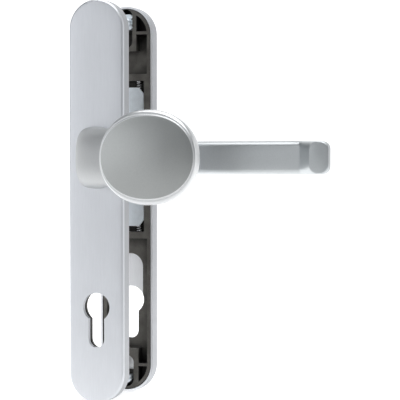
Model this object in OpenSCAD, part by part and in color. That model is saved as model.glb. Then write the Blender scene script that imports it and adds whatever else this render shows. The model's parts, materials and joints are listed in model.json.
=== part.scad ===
// Narrow-stile door handle set with euro-profile cylinder holes: a long outside plate with a fixed,
// cranked oval knob, and a long inside plate with a sprung lever handle.
// X runs across the plates, Y runs through the door from outside to inside, and Z is up.
// The origin is on the spindle axis, in the plane where the outside plate meets the door.

/* [Door] */
// Thickness of the door that the two plates clamp
door_t = 41; // [38:0.5:50]
// Distance from the spindle axis down to the centre of the cylinder
centre_distance = 92; // [85:1:100]

/* [Plates] */
// Width of both plates
plate_w = 36; // [34:1:40]
// Height of the plates' top end above the spindle axis
plate_top = 97; // [94:1:105]
// Depth of the plates' bottom end below the spindle axis
plate_bottom = 151; // [151:1:160]
// Depth of the outside plate, face to door
outer_depth = 9.5; // [9:0.5:12]
// Wall of the outside plate's face
outer_wall = 3; // [2.5:0.5:4]
// Depth of the inside cover, door to room face
cover_depth = 10; // [10:0.5:12]
// Wall of the inside cover
cover_wall = 1.4; // [1.2:0.1:1.6]

/* [Cylinder hole] */
// Radius of the round part of the euro-profile hole
profile_r = 8.75; // [8.6:0.05:9]
// Half width of the stem of the euro-profile hole
stem_half_w = 5.15; // [5.1:0.05:5.4]
// Distance from the centre of the round part down to the end of the stem
stem_drop = 24.9; // [24.7:0.1:25.5]

/* [Knob] */
// Sideways offset of the knob's centre from the spindle axis
knob_offset = 52; // [44:1:56]
// Projection of the knob's face from the plate
knob_projection = 52; // [46:1:60]
// Width of the knob's head
knob_w = 60; // [50:1:64]
// Height of the knob's head
knob_h = 55; // [46:1:60]
// Thickness of the knob's head
knob_t = 13; // [11:1:16]

/* [Lever] */
// Reach of the lever from the spindle axis
lever_reach = 124; // [110:1:135]
// Height of the lever's grip
grip_h = 22; // [18:1:24]
// Thickness of the lever's grip
grip_t = 11; // [9:0.5:13]
// Finger room between the grip and the inside cover
finger_room = 39; // [36:1:45]
// Length by which the lever's end returns towards the door
return_l = 9; // [6.5:0.5:12]
// Thickness of the flared foot at the end of the return
foot_t = 14.2; // [12:0.2:16]
// Radius of the middle of the elbow between neck and grip
elbow_r = 16; // [12:1:20]
// Radius of the middle of the lever's end return
return_r = 12; // [10:0.5:12]
// Side of the square spindle
spindle_side = 8; // [7:0.5:8]

/* [Return cassette] */
// Module of the hub's and the slides' teeth
tooth_module = 1; // [1:0.05:1.1]
// Outer radius of the return springs
spring_r = 1.75; // [1.5:0.05:1.8]
// Turns of each return spring
spring_turns = 22; // [12:1:24]

/* [Hidden] */

$fn = 64;
eps = 0.5; // how far a cut runs past the surface that it opens

plate_r = plate_w / 2;
end_top = plate_top - plate_r; // centre of the plates' round top end
end_bottom = plate_r - plate_bottom; // centre of the plates' round bottom end
profile_z = -centre_distance;

// Stations through the depth of the set
face_y = -outer_depth; // outside face of the outside plate
rim_y = door_t; // rim of the inside cover, on the door
room_y = door_t + cover_depth; // room face of the inside cover
floor_y = room_y - cover_wall - 1.2; // door side of the inner frame's floor
frame_y = rim_y + 0.3; // door side of the inner frame's ribs
grip_y = room_y + finger_room; // door side of the grip

// Fixing screws
top_screw_z = 87;
bottom_screw_z = -143;
screw_r = 2.5;
head_r = 4.6;
head_h = 2.4;
post_r = 3.8;
post_flange_r = 4.9;
post_collar_r = 4.2;
post_l = 15; // how far each post stands into the door
knob_screw_z = 11;
grub_l = 5;
spindle_end_y = 6; // free end of the spindle, inside the lock
socket_y = 76; // blind end of the lever's socket
support_gap = 1.2; // room round the cylinder in the support plate

// Lever
grip_edge = 3.2;
foot_edge = 5.5;

// Inner frame
frame_r = plate_r - cover_wall - 0.5;
flange_t = 2;
window_half_w = 12;
window_top = 49.4;
window_bottom = -47.7;
block_h = 4.2;
boss_top_half_w = 6.7;
boss_top_end = 68.5;
boss_bottom_half_w = 8;
boss_bottom_end = -123;
rib_t = 1.7;
slot_r = 4.1;
recess_r = 4.7;
bush_r = 9.95;
stub_r = 7.7;

// Return cassette
teeth = 16;
pitch_r = tooth_module * teeth / 2;
tooth_pitch = PI * tooth_module;
mesh_y0 = rim_y + 2.1; // door side of the hub and the slides
mesh_y1 = rim_y + 5.9; // room side of the hub and the slides
spring_x = 7.4;
spring_y = (mesh_y0 + mesh_y1) / 2;
spring_wire_r = 0.27;
seat_z = 20; // end of each slide, where its springs sit
tip_half = 0.28 * tooth_module; // half width of a tooth at its tip
root_half = 0.9 * tooth_module; // half width of a tooth at its root

aluminium = [0.80, 0.81, 0.84];
dark_metal = [0.33, 0.33, 0.32];
zinc = [0.72, 0.76, 0.80];
steel = [0.60, 0.61, 0.62];
nylon = [0.90, 0.90, 0.88];

// Extrudes an outline drawn in X and Z through the depth from y0 to y1
module slab(y0, y1) {
    translate([0, y1, 0])
        rotate([90, 0, 0])
            linear_extrude(y1 - y0)
                children();
}

// A cylinder along Y from y0 to y1, with its own radius at each end
module rod(x, z, y0, y1, r0, r1) {
    translate([x, y1, z])
        rotate([90, 0, 0])
            cylinder(h = y1 - y0, r1 = r1, r2 = r0);
}

// Outline with round ends, r from the plates' own end centres
module pill_2d(r) {
    translate([-r, end_bottom])
        square([2 * r, end_top - end_bottom]);
    for (z = [end_bottom, end_top])
        translate([0, z])
            circle(r);
}

// Half of the plate's cross-section, with its front corner rounded
module half_section(r, depth, edge) {
    square([r - edge, depth]);
    square([r, depth - edge]);
    translate([r - edge, depth - edge])
        circle(edge);
}

// A solid plate with round ends and a rounded front edge, from y = 0 to y = depth
module pill(r, depth, edge) {
    translate([0, 0, end_bottom])
        linear_extrude(end_top - end_bottom) {
            half_section(r, depth, edge);
            mirror([1, 0])
                half_section(r, depth, edge);
        }
    translate([0, 0, end_bottom])
        rotate([-90, 0, 0])
            rotate_extrude(angle = 180)
                half_section(r, depth, edge);
    translate([0, 0, end_top])
        rotate([-90, 0, 0])
            rotate([0, 0, 180])
                rotate_extrude(angle = 180)
                    half_section(r, depth, edge);
}

// Outline of the euro-profile hole
module profile_2d(r, half_w, drop) {
    translate([0, profile_z])
        circle(r);
    translate([-half_w, profile_z - drop + half_w])
        square([2 * half_w, drop - half_w]);
    translate([0, profile_z - drop + half_w])
        circle(half_w);
}

// Outline with round ends, centred on x = 0, from z0 to z1
module slot_2d(r, z0, z1) {
    translate([-r, z0 + r])
        square([2 * r, z1 - z0 - 2 * r]);
    for (z = [z0 + r, z1 - r])
        translate([0, z])
            circle(r);
}

// A flat oval w wide and h high, t thick, facing along its own Z
module oval(w, h, t) {
    scale([w / h, 1, 1])
        cylinder(h = t, d = h, center = true, $fn = 48);
}

/* ---- outside half ---- */

// Die-cast outside plate: a shell with bosses for the knob's screws
module outer_plate() {
    color(aluminium)
        difference() {
            union() {
                difference() {
                    mirror([0, 1, 0])
                        pill(plate_r, outer_depth, 1.6);
                    slab(face_y + outer_wall, eps)
                        pill_2d(plate_r - 2);
                }
                for (z = [-knob_screw_z, knob_screw_z])
                    rod(0, z, face_y + 1, -2.1, 5, 5);
            }
            slab(face_y - eps, eps)
                profile_2d(profile_r, stem_half_w, stem_drop);
            for (z = [-knob_screw_z, knob_screw_z])
                rod(0, z, face_y - eps, 0, screw_r + 0.15, screw_r + 0.15);
        }
}

// Steel plate that closes the back of the outside plate and bears on the door
module outer_support_plate() {
    color(dark_metal)
        difference() {
            slab(-2, 0)
                pill_2d(plate_r - 2.2);
            slab(-2 - eps, eps)
                profile_2d(profile_r + support_gap, stem_half_w + support_gap, stem_drop + support_gap);
            for (z = [-knob_screw_z, knob_screw_z])
                rod(0, z, -2.5, 0, screw_r + 0.1, head_r + 0.1);
            for (z = [bottom_screw_z, top_screw_z])
                rod(0, z, -3, eps, post_collar_r + 0.05, post_collar_r + 0.05);
        }
}

// Two posts, riveted through the support plate, that take the fixing screws
module threaded_posts() {
    color(zinc)
        for (z = [bottom_screw_z, top_screw_z])
            difference() {
                union() {
                    rod(0, z, -3.6, -2.05, post_flange_r, post_flange_r);
                    rod(0, z, -2.1, -0.02, post_collar_r, post_collar_r);
                    rod(0, z, -0.1, post_l, post_r, post_r);
                }
                rod(0, z, -1, post_l + eps, screw_r + 0.05, screw_r + 0.05);
            }
}

// Cranked neck, from its oval foot on the plate out and across to the knob's head
module knob_neck() {
    root_y = face_y;
    head_y = face_y - knob_projection + knob_t;
    // each station: x, y, turn about Z, width, height
    stations = [
        [0, root_y - 0.5, 0, 24, 38],
        [3.8, root_y - 8.5, 20, 23.5, 36.5],
        [11.5, root_y - 18.5, 42, 22, 35],
        [23, root_y - 29, 56, 20, 34],
        [knob_offset - 16, root_y - 36, 60, 19, 35],
        [knob_offset - 6, head_y + 0.5, 0, 34, 38]
    ];
    color(aluminium)
        difference() {
            union()
                for (i = [0:len(stations) - 2])
                    hull()
                        for (s = [stations[i], stations[i + 1]])
                            translate([s[0], s[1], 0])
                                rotate([0, 0, s[2]])
                                    rotate([90, 0, 0])
                                        oval(s[3], s[4], 1);
            for (z = [-knob_screw_z, knob_screw_z])
                rod(0, z, root_y - 9, root_y + eps, screw_r + 0.05, screw_r + 0.05);
            // flat seat for the head
            translate([knob_offset - 60, head_y - 30, -40])
                cube([90, 30, 80]);
            knob_stud_shape(0.05);
        }
}

// Oval head of the knob: a flat face with a full round edge, tapering at the back
module knob_head() {
    front_y = face_y - knob_projection;
    edge_w = 2.2;
    edge_h = 4;
    steps = 6;
    color(aluminium)
        difference() {
            hull() {
                for (i = [0:steps]) {
                    a = 90 * i / steps;
                    translate([knob_offset, front_y + 0.05 + edge_h * (1 - cos(a)) , 0])
                        rotate([90, 0, 0])
                            oval(knob_w - 2 * edge_w * (1 - sin(a)), knob_h - 2 * edge_h * (1 - sin(a)), 0.1);
                }
                translate([knob_offset, front_y + 8, 0])
                    rotate([90, 0, 0])
                        oval(knob_w - 1, knob_h - 1, 0.1);
                translate([knob_offset, front_y + knob_t - 0.05, 0])
                    rotate([90, 0, 0])
                        oval(knob_w - 12, knob_h - 12, 0.1);
            }
            knob_stud_shape(0.05);
        }
}

// Stud that joins the neck and the head, square to the head's back
module knob_stud_shape(gap) {
    rod(knob_offset - 15, 0, face_y - knob_projection + 5 - gap, face_y - knob_projection + knob_t + 6 + gap,
        4 + gap, 4 + gap);
}

module knob_stud() {
    color(steel)
        knob_stud_shape(0);
}

// Two countersunk screws that hold the knob's neck from behind
module knob_screws() {
    color(zinc)
        for (z = [-knob_screw_z, knob_screw_z])
            difference() {
                union() {
                    rod(0, z, face_y - 8.5, 0, screw_r, screw_r);
                    rod(0, z, -head_h, 0, screw_r, head_r);
                }
                hex_socket(0, z, 0, -1);
            }
}

// Hexagon socket cut into a screw head whose face is at y, sunk in the direction given
module hex_socket(x, z, y, way) {
    translate([x, y + way * 0.9, z])
        rotate([90, 0, 0])
            cylinder(h = 2.2, r = 1.75, center = true, $fn = 6);
}

/* ---- inside half ---- */

// Drawn inside cover, snapped over the frame
module inner_cover() {
    color(aluminium)
        difference() {
            translate([0, rim_y, 0])
                pill(plate_r, cover_depth, 2);
            translate([0, rim_y - eps, 0])
                pill(plate_r - cover_wall, cover_depth - cover_wall + eps, 0.25);
            slab(rim_y, room_y + eps)
                profile_2d(profile_r, stem_half_w, stem_drop);
            rod(0, 0, rim_y, room_y + eps, bush_r + 0.05, bush_r + 0.05);
            for (z = [bottom_screw_z, top_screw_z])
                rod(0, z, room_y - head_h, room_y + 0.001, screw_r + 0.1, head_r + 0.1);
        }
}

// Ribbed frame inside the cover, with the window for the return cassette
module inner_frame() {
    color(dark_metal)
        difference() {
            union() {
                slab(floor_y, room_y - cover_wall - 0.1)
                    pill_2d(frame_r);
                slab(frame_y, floor_y + 0.1)
                    frame_ribs_2d();
                for (z = [-24, 24])
                    rod(0, z, rim_y + 1.75, floor_y + 0.1, 3, 3);
            }
            // bore for the guide bush
            rod(0, 0, rim_y, room_y, bush_r + 0.05, bush_r + 0.05);
            // long opening for cylinders at other distances
            slab(rim_y - eps, room_y) {
                slot_2d(8.5, profile_z - 8.5, -62);
                profile_2d(9.2, stem_half_w + 0.3, stem_drop + 0.3);
            }
            // fixing slots, open to the cover only where the screw can stand
            slab(rim_y, floor_y)
                slot_2d(slot_r, 70.5, 95);
            slab(rim_y, floor_y)
                slot_2d(recess_r, bottom_screw_z - recess_r, -127.5);
            slab(rim_y, room_y)
                intersection() {
                    slot_2d(recess_r - 0.4, -147, -128);
                    translate([-recess_r, -137.5])
                        square([2 * recess_r, 10]);
                }
            for (z = [bottom_screw_z, top_screw_z])
                rod(0, z, room_y - head_h, room_y, screw_r + 0.1, head_r + 0.1);
            for (z = [bottom_screw_z, top_screw_z])
                rod(0, z, rim_y, room_y, screw_r + 0.2, screw_r + 0.2);
            for (z = [-24, 24])
                rod(0, z, rim_y, floor_y - 1, 1.3, 1.3);
        }
}

// Everything that stands up from the floor of the inner frame
module frame_ribs_2d() {
    difference() {
        pill_2d(frame_r);
        pill_2d(frame_r - flange_t);
    }
    intersection() {
        pill_2d(frame_r - 0.5);
        union() {
            // rails and end blocks of the cassette window
            for (s = [-1, 1])
                translate([s > 0 ? window_half_w : -frame_r, window_bottom - block_h])
                    square([frame_r - window_half_w, window_top - window_bottom + 2 * block_h]);
            translate([-frame_r, window_top])
                square([2 * frame_r, block_h]);
            translate([-frame_r, window_bottom - block_h])
                square([2 * frame_r, block_h]);
            // fixing bosses with their cross ribs
            translate([-boss_top_half_w, boss_top_end])
                square([2 * boss_top_half_w, 40]);
            translate([-frame_r, 80 - rib_t / 2])
                square([2 * frame_r, rib_t]);
            translate([-boss_bottom_half_w, boss_bottom_end - 40])
                square([2 * boss_bottom_half_w, 40]);
            translate([-frame_r, -133.4 - rib_t / 2])
                square([2 * frame_r, rib_t]);
        }
    }
}

// Zinc-plated plate that holds the hub, slides and springs in the window
module spring_plate() {
    half_w = 11.7;
    top = 45;
    bottom = -44;
    corner_w = 3.2;
    corner_h = 4;
    color(zinc)
        difference() {
            slab(rim_y + 0.5, rim_y + 1.7)
                polygon([
                    [-half_w, bottom + corner_h], [-half_w + corner_w, bottom],
                    [half_w - corner_w, bottom], [half_w, bottom + corner_h],
                    [half_w, top - corner_h], [half_w - corner_w, top],
                    [-half_w + corner_w, top], [-half_w, top - corner_h]
                ]);
            rod(0, 0, rim_y, rim_y + 3, 6.4, 6.4);
            for (z = [-24, 24])
                rod(0, z, rim_y + 0.5, rim_y + 1.7, 2.6, 1.35);
        }
}

module spring_plate_screws() {
    color(steel)
        for (z = [-24, 24]) {
            rod(0, z, rim_y + 0.55, rim_y + 1.7, 2.5, 1.25);
            rod(0, z, rim_y + 1.6, floor_y - 1.5, 1.25, 1.25);
        }
}

// Flanged bearing bush of the lever
module guide_bush() {
    color(nylon)
        difference() {
            union() {
                rod(0, 0, floor_y - 0.1, room_y + 0.5, bush_r, bush_r);
                rod(0, 0, room_y + 0.02, room_y + 0.9, 11.5, 11.2);
            }
            rod(0, 0, rim_y, room_y + 3, stub_r + 0.06, stub_r + 0.06);
        }
}

// Two long countersunk screws from the inside plate to the posts of the outside plate
module through_screws() {
    color(zinc)
        for (z = [bottom_screw_z, top_screw_z])
            difference() {
                union() {
                    rod(0, z, 1, room_y - 0.1, screw_r, screw_r);
                    rod(0, z, room_y - head_h - 0.1, room_y - 0.1, screw_r, head_r);
                }
                hex_socket(0, z, room_y - 0.1, -1);
            }
}

// Oblong sleeve with serrated flanks that sets the upper screw in its slot
module serrated_sleeve() {
    half_h = 5;
    notch_z = 1.9;
    notch_w = 1.5;
    color(zinc)
        difference() {
            slab(rim_y + 0.8, floor_y - 0.05)
                difference() {
                    translate([0, top_screw_z])
                        intersection() {
                            square([2 * (slot_r - 0.1), 2 * half_h], center = true);
                            circle(5.4);
                        }
                    for (s = [-1, 1], k = [-1, 1])
                        translate([s * slot_r, top_screw_z + notch_z * k])
                            rotate(45)
                                square(notch_w, center = true);
                }
            rod(0, top_screw_z, rim_y, room_y, screw_r + 0.05, screw_r + 0.05);
        }
}

// A round-wire compression spring along Z, from z0 to z1
module coil(x, z0, z1) {
    sides = 5;
    per_turn = 12;
    rings = spring_turns * per_turn;
    mean_r = spring_r - spring_wire_r;
    // closed, flat-lying end turns take the first and the last tenth of the rings
    rise = function (t) t < 0.1 ? 0.03 * t / 0.1
        : t > 0.9 ? 1 - 0.03 * (1 - t) / 0.1
        : 0.03 + 0.94 * (t - 0.1) / 0.8;
    length_in = z1 - z0 - 2 * spring_wire_r;
    points = [
        for (i = [0:rings], j = [0:sides - 1])
            let (turn = 360 * i / per_turn,
                 side = 360 * j / sides,
                 r = mean_r + spring_wire_r * cos(side))
            [r * cos(turn), r * sin(turn), z0 + spring_wire_r + length_in * rise(i / rings)
             + spring_wire_r * sin(side)]
    ];
    walls = [
        for (i = [0:rings - 1], j = [0:sides - 1])
            let (a = i * sides + j,
                 b = i * sides + (j + 1) % sides)
            each [[a, b + sides, b], [a, a + sides, b + sides]]
    ];
    start_cap = [for (j = [0:sides - 1]) j];
    end_cap = [for (j = [sides - 1:-1:0]) rings * sides + j];
    translate([x, spring_y, 0])
        polyhedron(points = points, faces = concat([start_cap], [end_cap], walls));
}

module upper_left_spring() {
    color(steel)
        coil(-spring_x, seat_z + 0.05, window_top - 0.05);
}

module upper_right_spring() {
    color(steel)
        coil(spring_x, seat_z + 0.05, window_top - 0.05);
}

module lower_left_spring() {
    color(steel)
        coil(-spring_x, window_bottom + 0.05, -seat_z - 0.05);
}

module lower_right_spring() {
    color(steel)
        coil(spring_x, window_bottom + 0.05, -seat_z - 0.05);
}

// One toothed slide with a spring seat at each end, drawn for the right-hand side
module slide() {
    tip_x = pitch_r - 0.8 * tooth_module;
    root_x = pitch_r + tooth_module;
    back_x = window_half_w - 0.3;
    seat_x = 5.2;
    seat_t = 3;
    color(zinc)
        slab(mesh_y0, mesh_y1)
            polygon([
                [back_x, seat_z], [back_x, -seat_z], [seat_x, -seat_z], [seat_x, seat_t - seat_z],
                [root_x, seat_t - seat_z],
                for (k = [-3.5:3.5])
                    each [
                        [root_x, k * tooth_pitch - root_half], [tip_x, k * tooth_pitch - tip_half],
                        [tip_x, k * tooth_pitch + tip_half], [root_x, k * tooth_pitch + root_half]
                    ],
                [root_x, seat_z - seat_t], [seat_x, seat_z - seat_t], [seat_x, seat_z]
            ]);
}

module right_slide() {
    slide();
}

module left_slide() {
    mirror([1, 0, 0])
        slide();
}

// Lever in one casting: stub, round neck, elbow, flat grip and an end returned towards the door
module lever() {
    neck_y = room_y + 1.1;
    neck_r = 9.5;
    mid_y = grip_y + grip_t / 2;
    return_x = lever_reach - return_r - grip_t / 2;
    taper_y = mid_y - elbow_r - 12.5;
    taper_end_y = mid_y - elbow_r + 0.5;
    inset = 0.3;
    color(aluminium)
        difference() {
            union() {
                rod(0, 0, rim_y + 6.05, neck_y + 1, stub_r, stub_r);
                rod(0, 0, neck_y, neck_y + 2, neck_r + 0.9, neck_r + 0.9);
                rod(0, 0, neck_y + 1, taper_y, neck_r, neck_r);
                // widens in height and narrows in thickness, to just inside the grip's own section
                intersection() {
                    rod(0, 0, taper_y, taper_end_y, neck_r, grip_h / 2 - 2.5 * inset);
                    linear_extrude(grip_h, center = true)
                        polygon([
                            [-neck_r - inset, taper_y],
                            [neck_r + inset, taper_y],
                            [grip_t / 2 - inset, taper_end_y],
                            [inset - grip_t / 2, taper_end_y]
                        ]);
                }
                translate([elbow_r, mid_y - elbow_r, 0])
                    quarter_turn(elbow_r, 90);
                translate([elbow_r, mid_y, 0])
                    rotate([90, 0, 90])
                        linear_extrude(return_x - elbow_r)
                            grip_2d(grip_t, grip_h, grip_edge);
                // rounded end and its return
                translate([return_x, mid_y - return_r, 0])
                    quarter_turn(return_r, 0);
                translate([return_x + return_r, 0, 0])
                    slab(grip_y - return_l, mid_y - return_r)
                        grip_2d(grip_t, grip_h, grip_edge);
                // flared foot
                translate([lever_reach - foot_t / 2, 0, 0])
                    slab(grip_y - return_l, grip_y - return_l + 3.5)
                        grip_2d(foot_t, grip_h - 0.4, foot_edge);
            }
            // square socket for the spindle, and the tapped hole of the grub screw
            slab(rim_y, socket_y)
                square(spindle_side + 0.1, center = true);
            translate([0, room_y + 12, -neck_r - 1])
                cylinder(h = neck_r, r = 3.05);
            // groove of the retaining ring
            difference() {
                rod(0, 0, rim_y + 6.3, rim_y + 7.15, stub_r + 1, stub_r + 1);
                rod(0, 0, rim_y + 6.3, rim_y + 7.15, stub_r - 0.8, stub_r - 0.8);
            }
        }
}

// A section t through and h high, with rounded corners
module grip_2d(t, h, edge) {
    square([t - 2 * edge, h], center = true);
    square([t, h - 2 * edge], center = true);
    for (u = [-1, 1], v = [-1, 1])
        translate([u * (t / 2 - edge), v * (h / 2 - edge)])
            circle(edge, $fn = 32);
}

// A quarter turn of the grip's section about Z at radius r, from the angle given
module quarter_turn(r, from) {
    rotate([0, 0, from])
        rotate_extrude(angle = 90)
            translate([r, 0])
                grip_2d(grip_t, grip_h, grip_edge);
}

// Square spindle, from the lever into the lock in the door
module spindle() {
    color(steel)
        slab(spindle_end_y, socket_y - 0.2)
            square(spindle_side, center = true);
}

// Hub on the spindle that drives the two slides
module toothed_hub() {
    root_r = pitch_r - tooth_module;
    tip_r = pitch_r + 0.8 * tooth_module;
    color(zinc)
        difference() {
            slab(mesh_y0, mesh_y1) {
                circle(root_r);
                for (k = [0:teeth - 1])
                    rotate(360 * k / teeth)
                        polygon([
                            [root_r - 0.5, -root_half], [pitch_r, -0.6 * tooth_module],
                            [tip_r, -tip_half], [tip_r, tip_half],
                            [pitch_r, 0.6 * tooth_module], [root_r - 0.5, root_half]
                        ]);
            }
            slab(mesh_y0 - eps, mesh_y1 + eps)
                square(spindle_side + 0.1, center = true);
        }
}

// Open ring in the groove of the stub, behind the guide bush
module retaining_ring() {
    color(steel)
        slab(rim_y + 6.35, rim_y + 7.1)
            difference() {
                circle(9.3);
                circle(stub_r - 0.75);
                translate([0, -10])
                    square([5, 10], center = true);
            }
}

module grub_screw() {
    color(steel)
        translate([0, room_y + 12, -spindle_side / 2 - grub_l - 0.08])
            difference() {
                cylinder(h = grub_l, r = 3);
                translate([0, 0, -0.5])
                    cylinder(h = 3, r = 1.75, $fn = 6);
            }
}

outer_plate();
outer_support_plate();
threaded_posts();
knob_neck();
knob_head();
knob_stud();
knob_screws();
inner_cover();
inner_frame();
spring_plate();
spring_plate_screws();
guide_bush();
through_screws();
serrated_sleeve();
upper_left_spring();
upper_right_spring();
lower_left_spring();
lower_right_spring();
left_slide();
right_slide();
lever();
spindle();
toothed_hub();
retaining_ring();
grub_screw();
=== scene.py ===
"""Looks of a narrow-stile door handle set: fixed cranked knob outside, sprung lever inside."""
import json
import math

import bmesh
import bpy
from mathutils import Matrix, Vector


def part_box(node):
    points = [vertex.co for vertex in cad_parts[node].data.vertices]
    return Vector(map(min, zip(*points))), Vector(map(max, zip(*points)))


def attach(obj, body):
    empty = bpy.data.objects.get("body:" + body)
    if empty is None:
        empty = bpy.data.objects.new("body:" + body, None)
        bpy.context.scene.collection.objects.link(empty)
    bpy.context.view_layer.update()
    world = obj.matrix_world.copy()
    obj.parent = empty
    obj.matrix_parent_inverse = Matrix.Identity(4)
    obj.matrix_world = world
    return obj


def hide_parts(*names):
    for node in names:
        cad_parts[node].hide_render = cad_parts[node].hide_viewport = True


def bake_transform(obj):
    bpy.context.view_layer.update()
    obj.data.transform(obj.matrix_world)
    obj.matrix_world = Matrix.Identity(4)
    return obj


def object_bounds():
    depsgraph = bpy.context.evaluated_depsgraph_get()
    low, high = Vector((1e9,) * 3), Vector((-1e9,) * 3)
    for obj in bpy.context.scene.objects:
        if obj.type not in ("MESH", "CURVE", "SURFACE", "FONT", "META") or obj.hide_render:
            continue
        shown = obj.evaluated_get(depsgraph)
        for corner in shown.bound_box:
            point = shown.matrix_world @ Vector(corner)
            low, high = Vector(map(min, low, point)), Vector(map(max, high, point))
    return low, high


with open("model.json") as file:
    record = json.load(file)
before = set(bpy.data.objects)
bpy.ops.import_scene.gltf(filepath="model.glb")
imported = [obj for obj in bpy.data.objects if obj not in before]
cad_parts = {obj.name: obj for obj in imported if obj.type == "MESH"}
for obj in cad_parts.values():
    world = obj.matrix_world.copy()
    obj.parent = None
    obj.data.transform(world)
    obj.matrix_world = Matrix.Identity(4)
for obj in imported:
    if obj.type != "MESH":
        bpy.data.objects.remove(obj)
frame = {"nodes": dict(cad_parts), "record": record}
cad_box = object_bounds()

MM = 0.001
SLOT = {s["node"]: s["material_slot"] for s in frame["record"]["subparts"]}
BODY = {n: b for b, ns in frame["record"]["behaviour"]["bodies"].items() for n in ns}

# Driving places and sizes, in metres, from the frame
OUTER_LO, OUTER_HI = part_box("outer_plate")
COVER_LO, COVER_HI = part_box("inner_cover")
HEAD_LO, HEAD_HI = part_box("knob_head")
NECK_LO, NECK_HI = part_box("knob_neck")
LEVER_LO, LEVER_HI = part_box("lever")
FACE_Y = OUTER_LO.y  # show face of the outside plate
RIM_Y = COVER_LO.y  # rim of the inside cover, on the door
ROOM_Y = COVER_HI.y  # show face of the inside cover
PLATE_R = OUTER_HI.x  # radius of the plates' round ends
CROWN = 0.30 * MM  # how far a plate's middle seems to stand above its outline


# ---------------------------------------------------------------- materials

class Nodes:
    """A short way to build one node material."""

    def __init__(self, name):
        self.material = bpy.data.materials.new(name)
        self.material.use_nodes = True
        self.tree = self.material.node_tree
        self.shader = self.tree.nodes["Principled BSDF"]
        self.coordinates = self.tree.nodes.new("ShaderNodeTexCoord").outputs["Object"]

    def link(self, source, target):
        self.tree.links.new(source, target)

    def noise(self, size, detail=3.0, stretch=(1, 1, 1)):
        """Noise with features of that size in metres, drawn out along an axis by stretch."""
        mapping = self.tree.nodes.new("ShaderNodeMapping")
        mapping.inputs["Scale"].default_value = [1 / (size * s) for s in stretch]
        texture = self.tree.nodes.new("ShaderNodeTexNoise")
        texture.inputs["Scale"].default_value = 1.0
        texture.inputs["Detail"].default_value = detail
        self.link(self.coordinates, mapping.inputs["Vector"])
        self.link(mapping.outputs["Vector"], texture.inputs["Vector"])
        return texture.outputs["Fac"]

    def range(self, source, low, high, at_low=0.3, at_high=0.7):
        """source from at_low..at_high mapped to low..high."""
        node = self.tree.nodes.new("ShaderNodeMapRange")
        node.inputs["From Min"].default_value = at_low
        node.inputs["From Max"].default_value = at_high
        node.inputs["To Min"].default_value = low
        node.inputs["To Max"].default_value = high
        self.link(source, node.inputs["Value"])
        return node.outputs["Result"]

    def math(self, operation, a, b):
        node = self.tree.nodes.new("ShaderNodeMath")
        node.operation = operation
        for socket, value in zip(node.inputs, (a, b)):
            if isinstance(value, (int, float)):
                socket.default_value = value
            else:
                self.link(value, socket)
        return node.outputs["Value"]

    def mix(self, factor, a, b):
        """Mixes two colours, each a socket or an RGB triple."""
        node = self.tree.nodes.new("ShaderNodeMix")
        node.data_type = "RGBA"
        self.link(factor, node.inputs["Factor"])
        for socket, value in ((node.inputs[6], a), (node.inputs[7], b)):
            if isinstance(value, (tuple, list)):
                socket.default_value = (*value, 1)
            else:
                self.link(value, socket)
        return node.outputs[2]

    def times(self, colour, factor):
        """A colour, socket or triple, scaled by a factor socket."""
        node = self.tree.nodes.new("ShaderNodeVectorMath")
        node.operation = "SCALE"
        if isinstance(colour, (tuple, list)):
            node.inputs[0].default_value = colour
        else:
            self.link(colour, node.inputs[0])
        self.link(factor, node.inputs["Scale"])
        return node.outputs["Vector"]

    def split(self, vector):
        node = self.tree.nodes.new("ShaderNodeSeparateXYZ")
        self.link(vector, node.inputs["Vector"])
        return node.outputs

    def attribute(self, name):
        """A mark on the mesh, 0 where it is missing: the edge mark is 1 on faces that round an edge, for a
        painted highlight, side 1 on the outer sides of a plate, for painted shade, and inset 1 on the
        knob's face and inside a plate."""
        node = self.tree.nodes.new("ShaderNodeAttribute")
        node.attribute_name = name
        return node.outputs["Fac"]

    def bump(self, heights):
        """Bumps from (height socket, depth in metres) pairs, one on the other."""
        normal = None
        for height, depth in heights:
            node = self.tree.nodes.new("ShaderNodeBump")
            node.inputs["Strength"].default_value = 1.0
            node.inputs["Distance"].default_value = depth
            self.link(height, node.inputs["Height"])
            if normal is not None:
                self.link(normal, node.inputs["Normal"])
            normal = node.outputs["Normal"]
        self.link(normal, self.shader.inputs["Normal"])


def shade(colour, factor):
    """A colour triple scaled by a number and kept within white."""
    return tuple(min(1.0, c * factor) for c in colour)


def satin_aluminium(name, colour, roughness, brush, inset=None, side=0.62):
    """Natural-anodised aluminium: a fine satin grain, drawn out along Z where brush is over 1.
    Faces marked inset take that colour instead, and faces marked side have it scaled by side, as painted
    shade."""
    m = Nodes(name)
    grain = m.noise(0.25 * MM, 4, (1, 1, brush))
    speckle = m.noise(0.7 * MM, 2, (1, 1, brush))
    cloud = m.noise(22 * MM, 2, (1, 1, 2))
    streaks = m.noise(0.9 * MM, 3, (1, 1, max(1, brush * 1.5)))
    base = colour if inset is None else m.mix(m.attribute("inset"), colour, inset)
    base = m.times(base, m.range(cloud, 0.97, 1.03))
    base = m.times(base, m.range(streaks, 1.008, 0.988))
    contrast = 0.012 if brush > 1 else 0.025
    base = m.times(base, m.range(speckle, 1 - contrast, 1 + contrast))
    # Painted highlight: faces that round an edge are made 8% lighter
    base = m.times(base, m.range(m.attribute("edge_highlight"), 1.0, 1.08, 0, 1))
    # Painted shade: a plate's side walls are darkened by the side factor
    base = m.times(base, m.range(m.attribute("side"), 1.0, side, 0, 1))
    m.link(base, m.shader.inputs["Base Color"])
    rough = m.math("ADD", m.range(grain, -0.05, 0.05), m.range(cloud, roughness - 0.02, roughness + 0.02))
    m.link(rough, m.shader.inputs["Roughness"])
    m.shader.inputs["Metallic"].default_value = 1.0
    bumps = [(grain, 0.004 * MM), (streaks, 0.0015 * MM)]
    if brush > 1:
        bumps.insert(0, (plate_crown(m), CROWN))
    m.bump(bumps)
    return m.material


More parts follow.
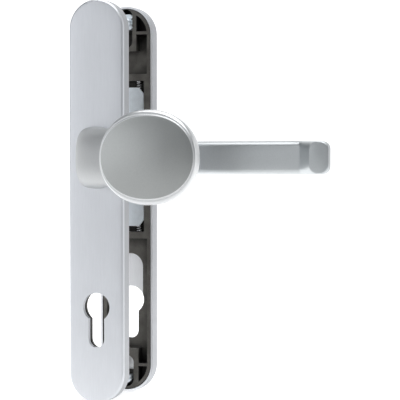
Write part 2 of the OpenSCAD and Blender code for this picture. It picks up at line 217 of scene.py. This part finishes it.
def plate_crown(m):
    """Height of a plate's slight crown: 1 along its middle, falling to 0 at its outline."""
    place = m.split(m.coordinates)
    above = m.math("MAXIMUM", m.math("SUBTRACT", place["Z"], OUTER_HI.z - PLATE_R), 0)
    below = m.math("MINIMUM", m.math("SUBTRACT", place["Z"], OUTER_LO.z + PLATE_R), 0)
    along = m.math("ADD", above, below)
    square = m.math("ADD", m.math("MULTIPLY", place["X"], place["X"]), m.math("MULTIPLY", along, along))
    share = m.math("DIVIDE", square, PLATE_R * PLATE_R)
    return m.math("SUBTRACT", 1, m.math("MULTIPLY", share, share))


def cast_zinc():
    """Dark die-cast zinc: cloudy grey, a pitted skin, painted shade in the pockets, and a painted highlight
    on the edges.
    """
    m = Nodes("cast_zinc")
    dark, light, highlight_grey = (0.088, 0.083, 0.075), (0.155, 0.148, 0.135), (0.42, 0.42, 0.41)
    cloud = m.noise(7 * MM, 4)
    pits = m.noise(0.35 * MM, 5)
    painted_hollow_shade = m.tree.nodes.new("ShaderNodeAmbientOcclusion")
    painted_hollow_shade.inputs["Distance"].default_value = 9 * MM
    base = m.mix(m.range(cloud, 0, 1), dark, light)
    base = m.mix(m.range(pits, 0, 0.5, 0.5, 0.75), base, shade(light, 1.5))
    # Painted highlight: faces that round an edge are mixed towards a light grey, in patches
    base = m.mix(m.math("MULTIPLY", m.attribute("edge_highlight"), m.range(cloud, 0.35, 0.85)), base, highlight_grey)
    # Painted shade: ambient occlusion darkens the base colour in pockets, corners and recesses
    base = m.times(base, m.range(painted_hollow_shade.outputs["AO"], 0.10, 1.0, 0.25, 0.85))
    m.link(base, m.shader.inputs["Base Color"])
    m.link(m.range(pits, 0.42, 0.62), m.shader.inputs["Roughness"])
    m.shader.inputs["Metallic"].default_value = 0.5
    m.bump([(cloud, 0.04 * MM), (pits, 0.025 * MM)])
    return m.material


def zinc_plate():
    """Bright zinc plating: bluish, faintly mottled, with fine rolling lines."""
    m = Nodes("zinc_plate")
    colour = (0.84, 0.90, 0.95)
    mottle = m.noise(3.0 * MM, 4)
    lines = m.noise(0.3 * MM, 3, (1, 1, 14))
    base = m.times(m.mix(m.range(mottle, 0, 1), shade(colour, 0.95), shade(colour, 1.04)),
                   m.range(lines, 0.97, 1.02))
    # Painted highlight: faces that round an edge are made 15% lighter
    base = m.times(base, m.range(m.attribute("edge_highlight"), 1.0, 1.15, 0, 1))
    m.link(base, m.shader.inputs["Base Color"])
    m.link(m.math("ADD", m.range(mottle, 0.40, 0.46), m.range(lines, -0.03, 0.03)),
           m.shader.inputs["Roughness"])
    m.shader.inputs["Metallic"].default_value = 0.85
    m.bump([(lines, 0.003 * MM)])
    return m.material


def bright_steel(name, colour):
    """Drawn steel with fine lines and a trace of oil darkening."""
    m = Nodes(name)
    cloud = m.noise(4 * MM, 3)
    lines = m.noise(0.2 * MM, 3, (1, 20, 1))
    base = m.mix(m.range(cloud, 0, 1), shade(colour, 0.82), shade(colour, 1.06))
    # Painted highlight: faces that round an edge are mixed towards a lighter steel
    base = m.mix(m.math("MULTIPLY", m.attribute("edge_highlight"), 0.6), base, shade(colour, 1.35))
    m.link(base, m.shader.inputs["Base Color"])
    m.link(m.math("ADD", m.range(cloud, 0.24, 0.34), m.range(lines, -0.04, 0.04)),
           m.shader.inputs["Roughness"])
    m.shader.inputs["Metallic"].default_value = 1.0
    m.bump([(lines, 0.004 * MM)])
    return m.material


def bearing_nylon():
    """Grey moulded nylon with a fine spark-eroded texture."""
    m = Nodes("bearing_nylon")
    colour = (0.30, 0.31, 0.32)
    cloud = m.noise(5 * MM, 3)
    grain = m.noise(0.2 * MM, 4)
    base = m.mix(m.range(cloud, 0, 1), shade(colour, 0.92), shade(colour, 1.08))
    # Painted highlight: faces that round an edge are mixed towards a lighter grey
    base = m.mix(m.math("MULTIPLY", m.attribute("edge_highlight"), 0.4), base, shade(colour, 1.4))
    m.link(base, m.shader.inputs["Base Color"])
    m.link(m.range(grain, 0.48, 0.60), m.shader.inputs["Roughness"])
    m.bump([(grain, 0.02 * MM)])
    return m.material


MATERIALS = {
    "cast_zinc": cast_zinc(),
    "zinc_plate": zinc_plate(),
    "bright_steel": bright_steel("bright_steel", (0.70, 0.70, 0.71)),
    "bearing_nylon": bearing_nylon(),
}
# Painted light: the spring wire is a much lighter copy of bright steel, to lift the springs in their shaded
# window
SPRING_WIRE = bright_steel("spring_wire", (0.95, 0.96, 0.97))
PLATE_ALUMINIUM = satin_aluminium("plate_aluminium", (0.745, 0.76, 0.79), 0.42, 9)
COVER_ALUMINIUM = satin_aluminium("cover_aluminium", (0.60, 0.61, 0.635), 0.50, 9, (0.95, 0.96, 0.98), 0.92)
KNOB_ALUMINIUM = satin_aluminium("knob_aluminium", (0.78, 0.79, 0.795), 0.36, 1, (0.45, 0.462, 0.455))
# Painted shade: the neck's aluminium colour is set darker for the shade the knob casts on it
NECK_ALUMINIUM = satin_aluminium("neck_aluminium", (0.57, 0.58, 0.585), 0.55, 1)
# Painted shade: the lever's aluminium colour is set darker than the plates' for the key light the knob
# holds off it
LEVER_ALUMINIUM = satin_aluminium("lever_aluminium", (0.61, 0.635, 0.645), 0.38, 1)


# ---------------------------------------------------------------- mesh helpers

def add_object(name, mesh):
    piece = bpy.data.objects.new(name, mesh)
    bpy.context.scene.collection.objects.link(piece)
    return piece


def stand_for(piece, node, material):
    """Finishes a piece that takes the place of a CAD node."""
    piece.data.materials.clear()
    piece.data.materials.append(material)
    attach(piece, BODY[node])
    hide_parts(node)


def smooth(mesh, degrees):
    """Smooth shading that keeps edges sharper than the angle."""
    mesh.polygons.foreach_set("use_smooth", [True] * len(mesh.polygons))
    mesh.set_sharp_from_angle(angle=math.radians(degrees))


def weighted_normals(piece):
    modifier = piece.modifiers.new("weighted_normals", "WEIGHTED_NORMAL")
    modifier.keep_sharp = True


def is_side(place, normal):
    """True on a plate's side wall, which stands square to the door and faces away from its middle line."""
    middle = Vector((0, place.y, min(max(place.z, OUTER_LO.z + PLATE_R), OUTER_HI.z - PLATE_R)))
    return abs(normal.y) < 0.05 and normal.dot(place - middle) > 0.5 * PLATE_R


def is_inside(place, show_face):
    """True behind a plate's wall: away from its outline, and off its show face."""
    off_wall, off_face = 1 * MM, 0.1 * MM
    height = min(max(place.z, OUTER_LO.z + PLATE_R), OUTER_HI.z - PLATE_R)
    from_middle = math.hypot(place.x, place.z - height)
    return from_middle < PLATE_R - off_wall and abs(place.y - show_face) > off_face


def refined(node, edge, material, show_face=None):
    """A copy of a CAD node's mesh with its sharp edges rounded by edge and marked for a painted highlight.
    Where a plate's show face is given by its Y, the plate's sides, for painted shade, and inside are marked
    too."""
    weld, flat, sharp = 0.002 * MM, math.radians(0.4), math.radians(40)
    bm = bmesh.new()
    bm.from_mesh(frame["nodes"][node].data)
    bmesh.ops.remove_doubles(bm, verts=bm.verts, dist=weld)
    bmesh.ops.dissolve_limit(bm, angle_limit=flat, verts=bm.verts, edges=bm.edges)
    edge_highlight = bm.faces.layers.float.new("edge_highlight")
    side = bm.faces.layers.float.new("side")
    inset = bm.faces.layers.float.new("inset")
    edges = [e for e in bm.edges if len(e.link_faces) == 2 and e.calc_face_angle(0) > sharp]
    made = bmesh.ops.bevel(bm, geom=edges, offset=edge, offset_type="OFFSET", segments=2,
                           profile=0.5, affect="EDGES", clamp_overlap=True)
    # Faces that round an edge, marked for a painted highlight
    rounded_faces = set(made["faces"])
    for face in bm.faces:
        face[edge_highlight] = float(face in rounded_faces)
        if show_face is not None and face not in rounded_faces:
            place = face.calc_center_median()
            face[side] = float(is_side(place, face.normal))
            face[inset] = float(is_inside(place, show_face))
    mesh = bpy.data.meshes.new(node + "_mesh")
    bm.to_mesh(mesh)
    bm.free()
    smooth(mesh, 50)
    piece = add_object(node + "_finished", mesh)
    weighted_normals(piece)
    stand_for(piece, node, material)


def loft(name, rings):
    """A skin over rings of equal point counts, with flat caps at its two ends."""
    bm = bmesh.new()
    rows = [[bm.verts.new(p) for p in ring] for ring in rings]
    count = len(rings[0])
    for a, b in zip(rows, rows[1:]):
        for i in range(count):
            j = (i + 1) % count
            bm.faces.new((a[i], a[j], b[j], b[i]))
    bm.faces.new(reversed(rows[0]))
    bm.faces.new(rows[-1])
    bmesh.ops.recalc_face_normals(bm, faces=bm.faces)
    mesh = bpy.data.meshes.new(name + "_mesh")
    bm.to_mesh(mesh)
    bm.free()
    return add_object(name, mesh)


def rod(name, start, end, radius, sides):
    """A straight bar with that many sides from start to end, for cutting."""
    along = (end - start).normalized()
    across = along.orthogonal().normalized()
    over = along.cross(across)
    angles = [2 * math.pi * i / sides for i in range(sides)]
    return loft(name, [[p + (across * math.cos(a) + over * math.sin(a)) * radius for a in angles]
                       for p in (start, end)])


def cut(piece, cutter):
    """Takes cutter out of piece for good."""
    modifier = piece.modifiers.new("cut", "BOOLEAN")
    modifier.operation = "DIFFERENCE"
    modifier.solver = "EXACT"
    modifier.object = cutter
    graph = bpy.context.evaluated_depsgraph_get()
    mesh = bpy.data.meshes.new_from_object(piece.evaluated_get(graph))
    piece.modifiers.clear()
    piece.data = mesh
    bpy.data.objects.remove(cutter)


def rounded_section(half_t, half_h, corner, per_corner=7, per_side=4):
    """Points round a rectangle with rounded corners, as (u, v). A full corner radius gives a circle."""
    corner = min(corner, half_t, half_h)
    points = []
    for k, (su, sv) in enumerate(((1, 1), (-1, 1), (-1, -1), (1, -1))):
        centre = (su * (half_t - corner), sv * (half_h - corner))
        for i in range(per_corner + 1):
            angle = math.radians(90 * k + 90 * i / per_corner)
            points.append((centre[0] + corner * math.cos(angle), centre[1] + corner * math.sin(angle)))
    out = []
    step = per_corner + 1
    for k in range(4):
        out += points[k * step:(k + 1) * step]
        a, b = points[(k + 1) * step - 1], points[((k + 1) * step) % len(points)]
        for i in range(1, per_side):
            t = i / per_side
            out.append((a[0] + (b[0] - a[0]) * t, a[1] + (b[1] - a[1]) * t))
    return out


def ease(t):
    """Goes from 0 to 1 with t, with no slope at either end."""
    return t * t * (3 - 2 * t)


def blend(a, b, t):
    """A tuple that is a at 0 and b at 1."""
    return tuple(x + (y - x) * t for x, y in zip(a, b))


# ---------------------------------------------------------------- knob

def superellipse(half_w, half_h, power, count=112):
    """Points round an oval, as (u, v). A power over 2 makes it squarer."""
    points = []
    for i in range(count):
        angle = 2 * math.pi * i / count
        c, s = math.cos(angle), math.sin(angle)
        points.append((half_w * math.copysign(abs(c) ** (2 / power), c),
                       half_h * math.copysign(abs(s) ** (2 / power), s)))
    return points


def knob_head():
    """Oval head: domed face, a fine step, a full round rim, and a back that tapers to the neck."""
    half_w, half_h = (HEAD_HI.x - HEAD_LO.x) / 2, (HEAD_HI.z - HEAD_LO.z) / 2
    centre_x = (HEAD_HI.x + HEAD_LO.x) / 2
    depth = HEAD_HI.y - HEAD_LO.y
    power = 2.12
    narrow = 0.48  # the rim is narrower at the sides than at top and bottom
    rim, bead, shoulder, dome = 2.6 * MM, 0.9 * MM, 5.4 * MM, 2.0 * MM
    groove, bead_h = 0.3 * MM, 0.5 * MM
    back_taper, back_r = 9 * MM, 4.2 * MM
    rim_front = dome + 0.55 * MM
    profile = []  # (inset from the outline, depth behind the front)
    for i in range(7):  # back, from the neck out to the side wall
        angle = math.radians(90 * i / 6)
        profile.append((back_taper * (1 - math.sin(angle)) + 0.3 * MM,
                        depth - back_r * (1 - math.cos(angle))))
    profile.append((0.0, shoulder + 1.5 * MM))
    for i in range(15):  # round rim
        angle = math.radians(90 * i / 14)
        profile.append((rim * (1 - math.cos(angle)),
                        rim_front + (shoulder - rim_front) * (1 - math.sin(angle))))
    # fine groove, then the bead round the face
    profile += [(rim + 0.12 * MM, rim_front + 0.04 * MM), (rim + 0.22 * MM, rim_front + 0.04 * MM),
                (rim + groove, rim_front - 0.04 * MM)]
    face = rim + groove + bead
    for i in range(1, 7):
        angle = math.radians(90 * i / 6)
        profile.append((rim + groove + bead * (1 - math.cos(angle)),
                        dome + bead_h * (1 - math.sin(angle))))
    reach = half_h - face
    for i in range(1, 14):  # dome
        t = i / 14
        profile.append((face + reach * t, dome * (1 - t) ** 2))
    rings = []
    for inset, back in profile:
        if inset < face * 1.2:
            across = half_w - inset * narrow
        else:
            across = (half_w - face * narrow) * (1 - (inset - face) / reach)
        outline = superellipse(across, half_h - inset, power)
        rings.append([Vector((centre_x + u, HEAD_LO.y + back, v)) for u, v in outline])
    piece = loft("knob_head_finished", rings)
    marks = piece.data.attributes.new("inset", "FLOAT", "FACE")
    for polygon, mark in zip(piece.data.polygons, marks.data):
        across = (polygon.center.x - centre_x) / (half_w - face * narrow)
        up = polygon.center.z / reach
        mark.value = float(abs(across) ** power + abs(up) ** power < 1 and polygon.normal.y < -0.5)
    smooth(piece.data, 40)
    stand_for(piece, "knob_head", KNOB_ALUMINIUM)


def knob_neck():
    """Cranked neck: an upright oval foot on the plate, swept out and across, flaring into the head."""
    seat_y = NECK_LO.y
    seat_x = NECK_HI.x - 17 * MM
    # stations: x, y, turn in degrees, width, height
    stations = [
        (0.0, FACE_Y, 0, 24 * MM, 38 * MM),
        (0.6 * MM, FACE_Y - 3.5 * MM, 8, 24 * MM, 37.6 * MM),
        (3.2 * MM, FACE_Y - 8 * MM, 20, 23.5 * MM, 36.8 * MM),
        (7.6 * MM, FACE_Y - 14 * MM, 34, 22.6 * MM, 36 * MM),
        (14 * MM, FACE_Y - 21 * MM, 46, 21.4 * MM, 35 * MM),
        (22 * MM, FACE_Y - 28 * MM, 50, 20.6 * MM, 34.6 * MM),
        (29.5 * MM, FACE_Y - 33 * MM, 44, 21.5 * MM, 35 * MM),
        (37.5 * MM, FACE_Y - 36.4 * MM, 24, 26 * MM, 36.5 * MM),
        (seat_x, seat_y, 0, 33 * MM, 38 * MM),
    ]
    rings = []
    last = len(stations) - 1
    power, points, per_span = 2.9, 72, 8
    for k in range(last):
        before, after = stations[max(0, k - 1)], stations[min(last, k + 2)]
        a, b = stations[k], stations[k + 1]
        for i in range(per_span + (k == last - 1)):
            t = i / per_span
            s = [0.5 * (2 * q + (r - p) * t + (2 * p - 5 * q + 4 * r - w) * t * t
                        + (3 * q - p - 3 * r + w) * t ** 3) for p, q, r, w in zip(before, a, b, after)]
            turn = math.radians(s[2])
            ring = []
            for u, v in superellipse(s[3] / 2, s[4] / 2, power, points):
                y = min(FACE_Y, max(seat_y, s[1] + u * math.sin(turn)))
                ring.append(Vector((s[0] + u * math.cos(turn), y, v)))
            rings.append(ring)
    # a small rounded toe where the foot meets the plate
    toe_h, toe_x_share, toe_z_share = 0.35 * MM, 0.985, 0.99
    foot = rings[0]
    toe = [Vector((p.x * toe_x_share, FACE_Y, p.z * toe_z_share)) for p in foot]
    lift = [Vector((p.x, FACE_Y - toe_h, p.z)) for p in foot]
    rings = [toe, lift] + rings[1:]
    piece = loft("knob_neck_finished", rings)
    smooth(piece.data, 40)
    stand_for(piece, "knob_neck", NECK_ALUMINIUM)


# ---------------------------------------------------------------- lever

def lever():
    """One casting: bored stub, collar, round neck, elbow, flat grip and the end returned to the door."""
    grip_t = 11 * MM
    grip_h = LEVER_HI.z - LEVER_LO.z
    mid_y = LEVER_HI.y - grip_t / 2
    stub_y = LEVER_LO.y
    stub_r, neck_r, collar_r = 7.7 * MM, 9.5 * MM, -LEVER_LO.x
    collar_y = ROOM_Y + 1.1 * MM
    socket, socket_y = 4.05 * MM, 76 * MM
    elbow_r = 16 * MM
    corner = 3.7 * MM
    grip = (grip_t / 2, grip_h / 2, corner)

    def round_ring(y, r):
        return (0.0, y, 0.0, (r, r, r))

    # stations: x, y, heading from +Y towards +X in radians, section
    bore = (socket, socket, 0.3 * MM)
    stations = [(0.0, socket_y, 0.0, bore), (0.0, stub_y, 0.0, bore)]
    groove_y = RIM_Y + 6.3 * MM
    for y, r in ((stub_y, stub_r - 0.3 * MM), (stub_y + 0.2 * MM, stub_r), (groove_y, stub_r),
                 (groove_y, stub_r - 0.8 * MM), (groove_y + 0.85 * MM, stub_r - 0.8 * MM),
                 (groove_y + 0.85 * MM, stub_r), (collar_y, stub_r), (collar_y, collar_r - 0.4 * MM),
                 (collar_y + 0.12 * MM, collar_r - 0.12 * MM), (collar_y + 0.4 * MM, collar_r),
                 (collar_y + 1.4 * MM, collar_r), (collar_y + 1.75 * MM, collar_r - 0.12 * MM),
                 (collar_y + 1.95 * MM, collar_r - 0.45 * MM), (collar_y + 2.1 * MM, neck_r + 0.15 * MM),
                 (collar_y + 2.5 * MM, neck_r)):
        stations.append(round_ring(y, r))
    blend_y0, blend_y1 = collar_y + 6 * MM, mid_y - elbow_r
    for i in range(21):
        t = i / 20
        section = blend((neck_r, neck_r, neck_r), grip, ease(t))
        stations.append((0.0, blend_y0 + (blend_y1 - blend_y0) * t, 0.0, section))
    for i in range(1, 17):  # elbow
        angle = math.radians(90 * i / 16)
        stations.append((elbow_r - elbow_r * math.cos(angle),
                         mid_y - elbow_r + elbow_r * math.sin(angle), angle, grip))
    # the end stands forward of the grip by hollow, past a slope that starts at a soft crease
    hollow, crease, lip = 9 * MM, 0.12, 1.2 * MM
    foot_t, foot_corner, foot_trim = 13.8 * MM, 5.9 * MM, 0.2 * MM
    grip_face_y = mid_y - grip_t / 2
    foot_y = grip_face_y - hollow
    bend_x = LEVER_HI.x - foot_t - hollow
    for i in range(1, 9):
        stations.append((elbow_r + (bend_x - elbow_r) * i / 9, mid_y, math.pi / 2, grip))
    outer_r = 17.5 * MM
    straight = LEVER_HI.x - outer_r - bend_x
    tail = mid_y + grip_t / 2 - outer_r - foot_y - lip
    whole = straight + outer_r * math.pi / 2 + tail
    for i in range(25):  # return: a slope inside, and a round outside
        t = i / 24
        slope = (math.hypot(t, crease) - crease) / (math.hypot(1, crease) - crease)
        inner = Vector((bend_x + hollow * t, grip_face_y - (hollow - lip) * slope, 0))
        run = t * whole
        angle = min(math.pi / 2, max(0.0, (run - straight) / outer_r))
        outer = Vector((bend_x + min(run, straight) + outer_r * math.sin(angle),
                        mid_y + grip_t / 2 - outer_r * (1 - math.cos(angle))
                        - max(0.0, run - whole + tail), 0))
        middle = (inner + outer) / 2
        heading = math.atan2(outer.y - inner.y, inner.x - outer.x) if i else math.pi / 2
        section = ((outer - inner).length / 2, grip_h / 2 - foot_trim * t,
                   corner + (foot_corner - corner) * t ** 3)
        stations.append((middle.x, middle.y, heading, section))
    middle_x = LEVER_HI.x - foot_t / 2
    for i in range(1, 7):  # rounded lip of the end face
        angle = math.radians(90 * i / 6)
        inset = lip * (1 - math.cos(angle))
        stations.append((middle_x, foot_y + lip * (1 - math.sin(angle)), math.pi,
                         (foot_t / 2 - inset, grip_h / 2 - foot_trim - inset, foot_corner - inset * 0.8)))
    rings = []
    for x, y, heading, section in stations:
        across = Vector((-math.cos(heading), math.sin(heading), 0))
        rings.append([Vector((x, y, 0)) + across * u + Vector((0, 0, v))
                      for u, v in rounded_section(*section)])
    piece = loft("lever_finished", rings)
    grub_y = ROOM_Y + 12 * MM
    grub_r = 3.05 * MM
    cut(piece, rod("grub_hole", Vector((0, grub_y, -neck_r - MM)), Vector((0, grub_y, -MM)), grub_r, 48))
    smooth(piece.data, 34)
    stand_for(piece, "lever", LEVER_ALUMINIUM)


# ---------------------------------------------------------------- springs and screws

def coil_spring(node):
    """Round-wire compression spring with closed end turns."""
    lo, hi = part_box(node)
    wire, turns, sides, per_turn = 0.27 * MM, 22, 8, 20
    outer = 1.75 * MM
    mean = outer - wire
    x, y = (lo.x + hi.x) / 2, (lo.y + hi.y) / 2
    count = turns * per_turn
    length = hi.z - lo.z - 2 * wire
    closed = 1.6 * wire / length
    end = 0.08  # share of the wire in each closed end
    rings = []
    for i in range(count + 1):
        t = i / count
        if t < end:
            rise = closed * t / end
        elif t > 1 - end:
            rise = 1 - closed * (1 - t) / end
        else:
            rise = closed + (1 - 2 * closed) * (t - end) / (1 - 2 * end)
        turn = 2 * math.pi * turns * t
        out = Vector((math.cos(turn), math.sin(turn), 0))
        centre = Vector((x, y, lo.z + wire + length * rise)) + out * mean
        rings.append([centre + (out * math.cos(a) + Vector((0, 0, math.sin(a)))) * wire
                      for a in (2 * math.pi * j / sides for j in range(sides))])
    piece = loft(node + "_wire", rings)
    smooth(piece.data, 60)
    piece.data.materials.append(SPRING_WIRE)
    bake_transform(piece)
    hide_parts(node)


def threaded_screw(name, z, y_tip, y_head, head_r, head_h, pitch=0.8 * MM, crest=2.5 * MM, depth=0.42 * MM):
    """Countersunk screw along Y with a rolled thread up to its head and a hexagon socket."""
    sides, per_pitch = 24, 6
    rows = int((y_head - head_h - y_tip) / pitch * per_pitch)
    rings = []
    for i in range(rows + 1):
        y = y_tip + i * pitch / per_pitch
        end_taper = min(1.0, 0.72 + i / (per_pitch * 3))
        ring = []
        for j in range(sides):
            angle = 2 * math.pi * j / sides
            phase = (y / pitch - j / sides) % 1.0
            ridge = 1 - abs(2 * phase - 1)
            radius = (crest - depth + depth * min(1.0, max(0.0, 1.5 * ridge - 0.2))) * end_taper
            ring.append(Vector((radius * math.cos(angle), y, z + radius * math.sin(angle))))
        rings.append(ring)

    def circle(y, r):
        angles = [2 * math.pi * j / sides for j in range(sides)]
        return [Vector((r * math.cos(a), y, z + r * math.sin(a))) for a in angles]

    rings += [circle(y_head - head_h, crest), circle(y_head - 0.25 * MM, head_r - 0.15 * MM),
              circle(y_head - 0.08 * MM, head_r - 0.02 * MM), circle(y_head, head_r - 0.15 * MM)]
    piece = loft(name, rings)
    socket_depth, socket_r = 2 * MM, 1.75 * MM
    bottom, above = Vector((0, y_head - socket_depth, z)), Vector((0, y_head + socket_depth, z))
    cut(piece, rod("socket", bottom, above, socket_r, 6))
    smooth(piece.data, 38)
    return piece


def through_screws():
    """The two fixing screws, from the room side into the posts."""
    lo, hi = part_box("through_screws")
    head_r = 4.6 * MM
    for tag, z in (("lower", lo.z + head_r), ("upper", hi.z - head_r)):
        screw = threaded_screw(f"through_screw_{tag}", z, lo.y, hi.y, head_r, 2.4 * MM)
        screw.data.materials.append(MATERIALS["zinc_plate"])
        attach(screw, BODY["through_screws"])
        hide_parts("through_screws")


# ---------------------------------------------------------------- stage

def place_camera():
    """Camera to the right of the outside plate, level with the handle, with a long lens."""
    azimuth, pitch, distance = math.radians(18.87), math.radians(-1.51), 0.878
    data = bpy.data.cameras.new("camera")
    data.lens = 139.3
    data.sensor_width = 36
    camera = bpy.data.objects.new("camera", data)
    level = math.cos(pitch)
    forward = Vector((-math.sin(azimuth) * level, math.cos(azimuth) * level, math.sin(pitch)))
    camera.location = (0.3675, FACE_Y - distance, -0.001)
    camera.rotation_euler = forward.to_track_quat("-Z", "Y").to_euler()
    bpy.context.scene.collection.objects.link(camera)
    bpy.context.scene.camera = camera


def area_light(name, place, aim, size, power, colour=(1, 1, 1)):
    """A soft box of that width and height in metres, aimed at a point."""
    data = bpy.data.lights.new(name, "AREA")
    data.shape = "RECTANGLE"
    data.size, data.size_y = size
    data.energy = power
    data.color = colour
    light = bpy.data.objects.new(name, data)
    light.location = place
    light.rotation_euler = (Vector(aim) - Vector(place)).to_track_quat("-Z", "Y").to_euler()
    bpy.context.scene.collection.objects.link(light)


def paper():
    """White paper with fine fibres. It glows, more towards the back and less towards the right."""
    m = Nodes("paper")
    fibre = m.noise(1.5 * MM, 3)
    m.link(m.mix(m.range(fibre, 0, 1), (0.76, 0.76, 0.76), (0.80, 0.80, 0.80)),
           m.shader.inputs["Base Color"])
    place = m.split(m.coordinates)
    glow = m.math("MULTIPLY", m.range(place["Y"], 0.10, 0.85, -0.3, 0.15),
                  m.range(place["X"], 1.0, 0.45, -0.1, 0.5))
    m.link(glow, m.shader.inputs["Emission Strength"])
    m.shader.inputs["Emission Color"].default_value = (1, 1, 1, 1)
    m.shader.inputs["Roughness"].default_value = 0.9
    m.shader.inputs["Specular IOR Level"].default_value = 0.1
    return m.material


def paper_sweep():
    """Floor of paper that curves up into a backdrop."""
    floor_z = cad_box[0][2] - 0.4 * MM
    radius, back, front, wide, top = 0.9, 1.6, 3.2, 5.0, 3.2
    profile = [(-front, floor_z)]
    for i in range(17):
        angle = math.radians(90 * i / 16)
        profile.append((back + radius * math.sin(angle), floor_z + radius * (1 - math.cos(angle))))
    profile.append((back + radius, top))
    bm = bmesh.new()
    rows = [[bm.verts.new((s * wide, y, z)) for y, z in profile] for s in (-1, 1)]
    for i in range(len(profile) - 1):
        bm.faces.new((rows[0][i], rows[1][i], rows[1][i + 1], rows[0][i + 1]))
    mesh = bpy.data.meshes.new("sweep_mesh")
    bm.to_mesh(mesh)
    bm.free()
    smooth(mesh, 60)
    sweep = add_object("sweep", mesh)
    sweep.data.materials.append(paper())


def studio():
    """Even sky, and soft boxes at the left, above and at the right."""
    world = bpy.data.worlds.new("sky")
    world.use_nodes = True
    sky = world.node_tree.nodes["Background"]
    sky.inputs["Color"].default_value = (0.90, 0.95, 1.0, 1)
    sky.inputs["Strength"].default_value = 0.22
    bpy.context.scene.world = world
    target = (0.02, 0, -0.02)
    area_light("key", (-1.45, -1.45, 0.22), target, (2.0, 1.0), 7.0, (0.97, 0.98, 1.0))
    area_light("top", (0.2, -0.35, 1.35), target, (1.6, 1.9), 19)
    area_light("side", (1.5, 0.3, 0.2), target, (0.5, 1.4), 3)
    bpy.context.scene.view_settings.view_transform = "Standard"


# How far sharp edges are rounded, in millimetres, on the nodes that keep their CAD mesh, apart
# from the two plates
EDGES = {"outer_support_plate": 0.2, "threaded_posts": 0.2, "knob_stud": 0.2, "knob_screws": 0.1,
         "inner_frame": 0.4, "spring_plate": 0.12, "spring_plate_screws": 0.06, "guide_bush": 0.12,
         "serrated_sleeve": 0.1, "left_slide": 0.08, "right_slide": 0.08, "spindle": 0.35,
         "toothed_hub": 0.06, "retaining_ring": 0.08, "grub_screw": 0.12}

place_camera()
knob_head()
knob_neck()
lever()
for spring, slide in (("upper_left_spring", "left_slide_bar"), ("lower_left_spring", "left_slide_bar"),
                      ("upper_right_spring", "right_slide_bar"), ("lower_right_spring", "right_slide_bar")):
    coil_spring(spring)
through_screws()
refined("outer_plate", 0.25 * MM, PLATE_ALUMINIUM, FACE_Y)
refined("inner_cover", 0.12 * MM, COVER_ALUMINIUM, ROOM_Y)
for node, edge in EDGES.items():
    refined(node, edge * MM, MATERIALS[SLOT[node]])
paper_sweep()
studio()
